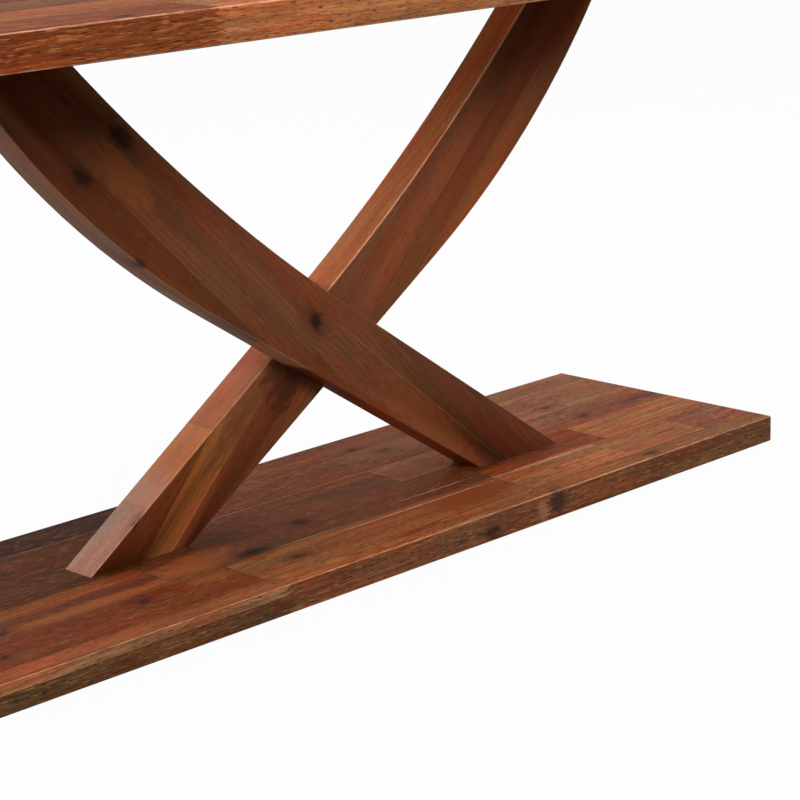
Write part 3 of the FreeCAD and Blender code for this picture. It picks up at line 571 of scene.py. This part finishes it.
# base plank: six rows of staves, in mm; stave 31 is the second one in the fourth row
basePlank = {
    "rows": (-171, -94, -14.5, 59, 141),    # y of the glue lines between the rows
    # x of the butt joints in each row, and the tones of its staves
    "joints": ((-255, 209.5), (-264.5, 213, 418, 583.5), (-342, 218, 457), (-320, 128), (-230, 360),
               (-180, 480)),
    "tones": (("moss", "apricot", "ginger"), ("red", "ginger", "tan", "amber", "rose"),
              ("russet", "brown", "rust", "amber"), ("loam", "brown", "rose"), ("loam", "cocoa", "nutmeg"),
              ("heart", "hazel", "nutmeg")),
    # a stave glued up from two layers: its number, the height of the line, the upper layer's number and tone
    "layers": ((0, 28, 5, "clay"),),
    "sideTones": {0: "lichen", 5: "sand", 1: "olive", 2: "olive"},    # the staves are greener on the long edge
    "seam": 0.6,                      # how wide a glue line is drawn
    "wideSeams": {1: 0.8},            # the one between the second and third rows is open a little
    "paleSeams": (12, 31, 40, 42),    # the staves with pale glue on their edges
    # on the upper face: x, y, radius along the grain and across it, strength, and a stain's tone
    "knots": ((-410, -114.5, 12, 9, 0.7), (-624, -139.5, 7, 5, 0.9), (-208, -80, 26, 13, 0.9),
              (-178, -135, 10, 7, 0.9), (-85, -38, 16, 12, 0.85), (441, -189.5, 15, 7, 0.7),
              (303, -135, 6, 4, 0.5), (527, 10.5, 12, 7, 0.7), (527, 83, 14, 7, 0.6), (187, 149, 8, 6, 0.7),
              (215, 112, 14, 9, 0.5), (-585, -76, 14, 6, 0.9)),
    "stainsAndPaintedLight": ((-165, -183, 22, 7, 0.6, "honey"), (-30, -178, 40, 6, 0.5, "wine"),
               (125, -130, 92, 40, 1.0, "russet"), (60, -112, 160, 18, 0.7, "russet"),
               # the umber stain at -180, 2 is a painted shadow of the rear leg's foot on the plank
               (-300, -112, 40, 16, 0.6, "ginger"), (-180, 2, 75, 20, 0.5, "umber"),
               # the two nutmeg stains at x 230 are painted light on the plank behind the front leg
               (230, 120, 100, 40, 0.7, "nutmeg"), (230, 172, 100, 30, 0.4, "nutmeg"),
               (537, -135, 34, 6, 0.6, "wine"), (-450, -80, 130, 14, 0.5, "orange"),
               (660, 14, 70, 9, 0.6, "ink"), (560, 144, 60, 4, 0.6, "wine"),
               (60, 5, 70, 26, 0.35, "umber"), (170, 20, 60, 30, 0.6, "umber"),
               (-200, -25, 70, 16, 0.45, "umber"), (-275, -60, 80, 34, 0.7, "copper"),
               # the heart stain at 232, -26 is a painted shadow beside the front leg's foot
               (170, 28, 40, 32, 0.2, "nutmeg"), (232, -26, 22, 16, 0.5, "heart"),
               (315, -99, 95, 3, 0.5, "straw"), (50, -106, 175, 2, 0.45, "straw"),
               (120, -74, 80, 1.6, 0.35, "straw"), (-120, -91, 70, 1.6, 0.4, "straw")),
    # on the long front edge: x, z, radius along the grain, up and inwards, strength, and a stain's tone
    "edgeKnots": ((98, 16, 15, 9, 20, 0.7),),
    "edgeStains": ((-270, 18, 15, 10, 9, 0.6, "wine"), (166, 36, 12, 6, 10, 0.6, "olive"),
                   (198, 20, 13, 16, 12, 0.6, "blush"), (228, 27, 19, 22, 20, 0.75, "ink")),
    "streaks": ((-500, -52, 12, 0.4), (300, -55, 10, 0.5)),    # x, y, half width, strength
}
makePlank("basePlankStaves", "base_plank", basePlank, seed=11)
print("base plank ready")

# legs: blanks glued from staves that run at 45 degrees, then sawn to the curve; all in mm
wholeLength = -9999    # the start of a glue line that doesn't start part way
frontLeg = {
    "seams": (144, 206, 296, 333),    # each glue line's x + z
    "tones": ("earth", "cedar", "brown", "brown", "smoke"),
    # the grey-mauve lower tones of the first two staves are a painted reflection of the white surroundings on
    # the underside
    "lowerTones": ("drab", "taupe", "russet", "russet", "umber"),
    "joints": ((1, -317, "sepia", "mahogany"),),    # the stave it parts, its x - z, and the tones beyond it
    # a glue line that runs through x, z at so many degrees to the rest, and the x - z at which it starts;
    # a number that ends in 5 is the part of a stave beyond such a start
    "tilts": {2: (102, 194, 5.4, -300)},
    "sameGrain": {30: 20},            # a stave and the one whose grain it continues
    "seam": 0.6,
    "wideSeams": {2: 0.9},            # the third glue line
    "paleSeams": (25,),
    "seamShade": 0.3,                 # sanding leaves the glue lines faint
    # x, z, radius along the grain and across it, strength, and a stain's tone
    "knots": ((-56.6, 303, 15, 11, 0.9), (-409, 537, 16, 11, 0.85), (-350, 575, 20, 12, 0.85)),
    # the chestnut stain at -345, 530 is painted light on the leg's upper end, against the tabletop's shadow
    "stainsAndPaintedLight": ((150, 112, 150, 34, 0.5, "clay"), (-345, 530, 60, 30, 0.5, "chestnut"),
               (122, 221, 40, 14, 0.5, "ink"), (170, 165, 170, 24, 0.8, "smoke"),
               (270, 80, 60, 30, 0.5, "wine")),
    # the same with y and the radius through the leg: x, z, y, along, across, through
    "deepKnots": ((-333, 424, -51, 10, 6, 16, 0.7),),
    # the heart one is painted shade on the underside beside the rear leg, and the taupe one is a painted
    # reflection on the underside
    "deepStainsAndPaintedLight": ((-46, 223, -8, 40, 22, 28, 0.7, "heart"), (-245, 362, -12, 70, 30, 18, 0.7, "taupe")),
    "side": -51,                      # y of the face that the knots and stains are placed on
    "turned": 1,
    "wearAndHighlight": (0.1, 0.15),              # how pale the arrises are drawn, as wear and as a painted highlight, below the crossing and above it
    "crossing": 330,                  # its height
}
rearLeg = {
    "seams": (141, 190, 246, 308, 360, 409),
    "tones": ("chestnut", "teak", "hazel", "cocoa", "ginger", "sepia", "sepia"),
    # the last stave's pinkish-grey upper tone at the foot is partly painted sheen
    "upperTones": ("orange", "orange", "orange", "sienna", "henna", "copper", "dusk"),
    "joints": ((2, -255, "bark"), (1, -255, "bark"), (3, -255, "brown")),
    "tilts": {4: (255, 109, -4, wholeLength)},
    "sameGrain": {40: 30, 50: 30, 60: 30},
    "seam": 0.6,
    "seamShade": 0.25,
    "stainsAndPaintedLight": ((-275, 475, 90, 30, 0.5, "clay"),),
    "deepKnots": ((320, 90, 0, 9, 6, 6, 0.85),),
    # the brown one is painted shade under the crossing; the two heart ones are partly dark heartwood and partly
    # painted shade there
    "deepStainsAndPaintedLight": ((110, 222, 0, 130, 34, 10, 0.75, "brown"), (66, 212, 0, 48, 26, 14, 0.75, "heart"),
                   (86, 232, 0, 34, 18, 14, 0.6, "heart")),
    # these show on the upper faces only; the pinkish-grey one near the foot is partly painted sheen, and the
    # blush one is a painted highlight near the crossing
    "upperStainsAndSheen": ((300, 104, 60, 60, 0.6, "dusk"), (126, 245, 50, 30, 0.12, "blush")),
    "side": 0,
    "turned": -1,                     # the same leg, turned half round
    # its arris above the crossing is drawn palest: a painted highlight as much as wear
    "wearAndHighlight": (0.5, 1.4),
    "crossing": 330,
}
sandedEdge = {
    "size": 0.5 * mm,
    "shortest": 5 * mm,               # shorter edges are left as they are
    "chamferFacing": (0.6, 0.8),      # the sideways part of a chamfer's normal
    "edgeFacing": (0.2, 0.95),        # the same for the faces that are drawn pale, worn and with a painted highlight
}
halfLeg = 26 * mm                     # half a leg's thickness
throughLeg = 80 * mm                  # deeper than a leg


def makeLeg(name, node, facts, seed):
    bm = copyOfNode(node)
    # the long edges are chamfers in the solid; rounding both sides of each gives the sanded edge
    low, high = sandedEdge["chamferFacing"]
    eased = [e for e in bm.edges if len(e.link_faces) == 2 and e.calc_length() > sandedEdge["shortest"]
             and sum(low < abs(f.normal.y) < high for f in e.link_faces) == 1]
    bmesh.ops.bevel(bm, geom=eased, affect="EDGES", offset=sandedEdge["size"], offset_type="OFFSET", segments=2,
                    profile=0.5, material=-1, clamp_overlap=True)
    layers = startLayers(bm)
    way, diagonal = facts["turned"], math.sqrt(0.5)
    axis, across = Vector((way, 0, -1)) * diagonal, Vector((way, 0, 1)) * diagonal
    staves, planes = {}, []
    for index, place in enumerate(facts["seams"]):
        point, normal, start, number = across * (place * diagonal * mm), across, wholeLength, index * 10
        if index in facts["tilts"]:
            x, z, angle, start = facts["tilts"][index]
            point = Vector((way * x, 0, z)) * mm
            normal = Matrix.Rotation(math.radians(-way * angle), 3, "Y") @ across
            if start != wholeLength:
                number += 5
                cutStave(bm, layers, index * 10, number, axis * (start * diagonal * mm), axis, 0)
        planes.append((point, normal, start))
        cutStave(bm, layers, number, (index + 1) * 10, point, normal,
                 facts.get("wideSeams", {}).get(index, facts["seam"]) * mm)
    for index, tone in enumerate(facts["tones"]):
        stave = {"axis": axis, "through": Vector((0, 1, 0)), "tone": tone, "seamShade": facts["seamShade"]}
        for key in ("upperTone", "lowerTone"):
            if key + "s" in facts:
                stave[key] = facts[key + "s"][index]
        staves[index * 10] = stave
    for index, (x, z, angle, start) in facts["tilts"].items():
        if start != wholeLength:
            staves[index * 10 + 5] = dict(staves[index * 10], sameGrain=index * 10)
    for index, place, tone, *lowerTone in facts["joints"]:
        cutStave(bm, layers, index * 10, index * 10 + 1, axis * (place * diagonal * mm), axis,
                 facts["seam"] * mm)
        staves[index * 10 + 1] = dict(staves[index * 10], tone=tone)
        if lowerTone:
            staves[index * 10 + 1]["lowerTone"] = lowerTone[0]
    for number in facts.get("paleSeams", ()):
        staves[number]["paleSeam"] = 1.0
    for number, other in facts["sameGrain"].items():
        staves[number]["sameGrain"] = other

    def staveAt(x, z):
        place, index = Vector((way * x, 0, z)) * mm, 0
        for point, normal, start in planes:
            if (place - point).dot(normal) <= 0 or x - z <= start:
                break
            index += 1
        number = 10 * index + sum(x - z > joint[1] for joint in facts["joints"] if joint[0] == index)
        start = facts["tilts"].get(index, (0, 0, 0, wholeLength))[3]
        return number + 5 if wholeLength < start < x - z else number

    spots = []
    for x, z, long, wide, strength, *colour in facts.get("knots", ()) + facts["stainsAndPaintedLight"]:
        spots.append(((way * x * mm, facts["side"] * mm, z * mm), (long * mm, wide * mm, rightThrough),
                      strength, staveAt(x, z), colour[0] if colour else None))
    for x, z, y, long, wide, deep, strength, *colour in facts["deepKnots"] + facts["deepStainsAndPaintedLight"]:
        spots.append(((way * x * mm, y * mm, z * mm), scaled((long, wide, deep)), strength, staveAt(x, z),
                      colour[0] if colour else None))
    for x, z, long, wide, strength, colour in facts.get("upperStainsAndSheen", ()):
        spots.append(((way * x * mm, -way * halfLeg, z * mm), (long * mm, wide * mm, throughLeg), strength,
                      staveAt(x, z), colour, "upperOnly"))

    def legEdge(face):
        # the arrises above the crossing are drawn palest, partly as wear and partly as a painted highlight
        below, above = facts["wearAndHighlight"]
        low, high = sandedEdge["edgeFacing"]
        return (above if face.calc_center_median().z > facts["crossing"] * mm else below) * (
            low < abs(face.normal.y) < high)

    markStaves(bm, layers, staves, spots, [], legEdge, seed)
    finishPiece(bm, name, node, sawnAcacia)


makeLeg("frontLegStaves", "front_leg", frontLeg, seed=21)
makeLeg("rearLegStaves", "rear_leg", rearLeg, seed=22)
print("legs ready")

# top and support plank: the same stock, with staves drawn by lot; lengths in mm
stock = {
    "tones": ("umber", "brown", "red", "chestnut", "rose", "amber", "chestnut", "brown"),
    "firstStave": (180, 520),
    "staveLength": (330, 620),
    "lastStave": 160,                 # no butt joint nearer the end than this
    "knotShare": 0.4,                 # a knot at two joints out of five
    "knotFromJoint": (30, 140),
    "knotFromSeam": 12,
    "knotLong": (8, 16),
    "knotWide": (5, 9),
    "knotStrength": (0.6, 0.9),
    "seam": 0.6,
}
supportPlank = {"width": 406, "rowWidth": 68, "length": 1397, "seed": 31}
tabletop = {"width": 914, "rowWidth": 76, "length": 1829, "seed": 33}


def drawStaves(facts):
    draw = random.Random(facts["seed"])
    width, length = facts["width"], facts["length"]
    count = round(width / facts["rowWidth"])
    lines = [-width / 2 + width * i / count for i in range(count + 1)]
    joints, tones, knots = [], [], []
    for low, high in zip(lines, lines[1:]):
        places, start = [], -length / 2 + draw.uniform(*stock["firstStave"])
        while start < length / 2 - stock["lastStave"]:
            places.append(start)
            start += draw.uniform(*stock["staveLength"])
        joints.append(tuple(places))
        tones.append(tuple(draw.choice(stock["tones"]) for _ in range(len(places) + 1)))
        for place in places:
            if draw.random() < stock["knotShare"]:
                knots.append((place - draw.uniform(*stock["knotFromJoint"]),
                              draw.uniform(low + stock["knotFromSeam"], high - stock["knotFromSeam"]),
                              draw.uniform(*stock["knotLong"]), draw.uniform(*stock["knotWide"]),
                              draw.uniform(*stock["knotStrength"])))
    return {"rows": tuple(lines[1:-1]), "joints": tuple(joints), "tones": tuple(tones), "knots": tuple(knots),
            "seam": stock["seam"]}


makePlank("supportPlankStaves", "support_plank", drawStaves(supportPlank), seed=32)
makePlank("tabletopStaves", "tabletop", drawStaves(tabletop), seed=34)

# battens: one stave each, with a knot at y, z; in mm
batten = {"x": 790, "tone": "brown", "knot": (140, 686), "knotSize": (10, 7), "strength": 0.8}


def makeBatten(node, side, seed):
    bm = copyOfNode(node)
    layers = startLayers(bm)
    staves = {0: {"axis": Vector((0, 1, 0)), "through": Vector((0, 0, 1)), "tone": batten["tone"]}}
    knot = (scaled((side * batten["x"], *batten["knot"])), (*scaled(batten["knotSize"]), rightThrough),
            batten["strength"], 0, None)
    markStaves(bm, layers, staves, [knot], [], plankEdge, seed)
    finishPiece(bm, node.replace("_batten", "BattenStave"), node, acacia)


makeBatten("left_batten", side=-1, seed=41)
makeBatten("right_batten", side=1, seed=42)
print("top, support plank and battens ready")

# hardware: the fasteners and glides keep their own shapes
hardware = {
    # machined steel, blackened: near black, with a dull metal sheen
    "bolt_steel": {"name": "blackOxideSteel", "colour": "2a2a2c", "metallic": 1.0, "roughness": (0.34, 0.46)},
    # stamped steel, plated: pale bluish grey and fairly bright
    "washer_steel": {"name": "brightZincPlatedSteel", "colour": "b9bcc0", "metallic": 1.0,
                     "roughness": (0.26, 0.38)},
    # cast zinc, passivated yellow: soft yellow-grey
    "insert_zinc": {"name": "castZincInsert", "colour": "b8ab7c", "metallic": 1.0, "roughness": (0.36, 0.48)},
    # rolled steel, plated yellow: brassy and bright
    "screw_zinc": {"name": "yellowZincPlatedSteel", "colour": "c2a85e", "metallic": 1.0,
                   "roughness": (0.25, 0.36)},
    # bare beech, turned: pale and dull
    "dowel_beech": {"name": "turnedBeech", "colour": "c9a273", "metallic": 0.0, "roughness": (0.55, 0.70)},
    # nylon, moulded: black-brown, with a slight sheen
    "glide_nylon": {"name": "mouldedNylon", "colour": "241f1c", "metallic": 0.0, "roughness": (0.42, 0.55)},
}
hardwareGrain = {
    "gritScale": 900.0,               # grit of about 1 mm, coarser than real so that it shows
    "patchScale": 120.0,              # patches of about 8 mm
    "shades": (0.78, 1.12),           # the colour's share in the dark and light patches
    "bump": 0.15,
    "bumpHeight": 0.1 * mm,
}


def hardwareMaterial(look):
    # a mottled tone, and roughness at the scale of the surface's own grit
    material, tree = newMaterial(look["name"])
    place = (addNode(tree, "ShaderNodeTexCoord"), "Object")
    grit = addNode(tree, "ShaderNodeTexNoise", {"Scale": hardwareGrain["gritScale"], "Detail": 3.0},
                   {"Vector": place})
    patch = addNode(tree, "ShaderNodeTexNoise", {"Scale": hardwareGrain["patchScale"], "Detail": 2.0},
                    {"Vector": place})
    shade = addNode(tree, "ShaderNodeValToRGB", links={0: patch})
    shares = hardwareGrain["shades"]
    for stop, position, share in zip(shade.color_ramp.elements, (noiseLow, noiseHigh), shares):
        stop.position = position
        stop.color = tuple(min(1, c * share) for c in linearColour(look["colour"])[:3]) + (1,)
    rough = addNode(tree, "ShaderNodeMapRange",
                    {1: noiseLow, 2: noiseHigh, 3: look["roughness"][0], 4: look["roughness"][1]}, {0: grit})
    bump = addNode(tree, "ShaderNodeBump",
                   {"Strength": hardwareGrain["bump"], "Distance": hardwareGrain["bumpHeight"]},
                   {"Height": grit})
    shader = addNode(tree, "ShaderNodeBsdfPrincipled", {"Metallic": look["metallic"]},
                     {"Base Color": shade, "Roughness": rough, "Normal": bump})
    addNode(tree, "ShaderNodeOutputMaterial", links={"Surface": shader})
    return material


finishes = {slot: hardwareMaterial(look) for slot, look in hardware.items()}
for subpart in frame["record"]["subparts"]:
    if subpart["material_slot"] in finishes:
        node = frame["nodes"][subpart["node"]]
        node.material_slots[0].material = finishes[subpart["material_slot"]]
print("hardware ready")

# studio: white floor, white surroundings, large soft lamps; metres and watts
studio = {
    "floorSize": 40.0,
    "floorGrey": 0.32,                # how much light the floor throws back at the table
    "floorWhite": (0.97, 0.14),       # how white it looks to the camera, and in gloss
    "surroundings": 0.25,
    "surroundingsWhite": (1.0, 0.1),
    "lamps": (
        {"name": "frontSoftbox", "place": (-1.2, -3.1, 2.05), "aim": (-0.05, 0, 0.25), "size": 1.0, "power": 88},
        {"name": "topSoftbox", "place": (0.1, -0.4, 3.6), "aim": (0, 0, 0.3), "size": 2.2, "power": 62},
        {"name": "leftSoftbox", "place": (-3.2, 0.5, 0.95), "aim": (0, 0, 0.2), "size": 1.6, "power": 72},
        {"name": "rightSoftbox", "place": (3.1, -0.1, 2.0), "aim": (0.3, 0, 0.1), "size": 1.8, "power": 64},
        {"name": "backSoftbox", "place": (-0.2, 2.9, 2.7), "aim": (0, 0, 0.2), "size": 1.6, "power": 48},
    ),
}
white = (1, 1, 1, 1)


def whiteShare(tree, seen, mirrored):
    # how white the set is to the camera and through glass, and how far gloss takes that white up
    rays = addNode(tree, "ShaderNodeLightPath")
    direct = addNode(tree, "ShaderNodeMath", {"operation": "MAXIMUM"},
                     {0: (rays, "Is Camera Ray"), 1: (rays, "Is Transmission Ray")})
    directShare = addNode(tree, "ShaderNodeMath", {"operation": "MULTIPLY", 1: seen}, {0: direct})
    glossShare = addNode(tree, "ShaderNodeMath", {"operation": "MULTIPLY", 1: mirrored},
                         {0: (rays, "Is Glossy Ray")})
    return addNode(tree, "ShaderNodeMath", {"operation": "MAXIMUM"}, {0: directShare, 1: glossShare})


def makeFloor():
    mesh = bpy.data.meshes.new("studioFloor")
    bm = bmesh.new()
    bmesh.ops.create_grid(bm, x_segments=1, y_segments=1, size=studio["floorSize"] / 2)
    bm.to_mesh(mesh)
    bm.free()
    floor = bpy.data.objects.new("studioFloor", mesh)
    bpy.context.scene.collection.objects.link(floor)
    # matt white paper: plain white all over, with the table's soft shadow on it
    material, tree = newMaterial("whitePaper")
    paper = addNode(tree, "ShaderNodeBsdfDiffuse", {"Color": (studio["floorGrey"],) * 3 + (1,)})
    glow = addNode(tree, "ShaderNodeEmission", {"Color": white, "Strength": 1.0})
    both = addNode(tree, "ShaderNodeMixShader",
                   links={0: whiteShare(tree, *studio["floorWhite"]), 1: paper, 2: glow})
    addNode(tree, "ShaderNodeOutputMaterial", links={"Surface": both})
    mesh.materials.append(material)


def makeSurroundings():
    world = bpy.data.worlds.new("studioWhite")
    bpy.context.scene.world = world
    world.use_nodes = True
    tree = world.node_tree
    tree.nodes.clear()
    fill = addNode(tree, "ShaderNodeBackground", {"Color": white, "Strength": studio["surroundings"]})
    plain = addNode(tree, "ShaderNodeBackground", {"Color": white, "Strength": 1.0})
    both = addNode(tree, "ShaderNodeMixShader",
                   links={0: whiteShare(tree, *studio["surroundingsWhite"]), 1: fill, 2: plain})
    addNode(tree, "ShaderNodeOutputWorld", links={"Surface": both})


def makeLamp(facts):
    light = bpy.data.lights.new(facts["name"], "AREA")
    light.shape, light.size, light.energy = "SQUARE", facts["size"], facts["power"]
    lamp = bpy.data.objects.new(facts["name"], light)
    bpy.context.scene.collection.objects.link(lamp)
    place = Vector(facts["place"])
    lamp.location = place
    lamp.rotation_euler = (Vector(facts["aim"]) - place).to_track_quat("-Z", "Y").to_euler()


makeFloor()
makeSurroundings()
for facts in studio["lamps"]:
    makeLamp(facts)

# metres, degrees and mm; the heading is from the table's depth towards its right end
view = {"place": (-2.0565, -2.2177, 0.9901), "heading": 44.706, "pitch": 15.061, "roll": -1.808, "lens": 108.06,
        "sensor": 36.0, "farthest": 200.0}
cameraData = bpy.data.cameras.new("camera")
cameraData.lens, cameraData.sensor_width, cameraData.clip_end = view["lens"], view["sensor"], view["farthest"]
camera = bpy.data.objects.new("camera", cameraData)
bpy.context.scene.collection.objects.link(camera)
aim = Euler((math.radians(90 - view["pitch"]), 0, math.radians(-view["heading"]))).to_matrix().to_4x4()
roll = Matrix.Rotation(math.radians(view["roll"]), 4, "Z")
camera.matrix_world = Matrix.Translation(view["place"]) @ aim @ roll
bpy.context.scene.camera = camera
bpy.context.scene.view_settings.view_transform = "Standard"
print("studio ready")
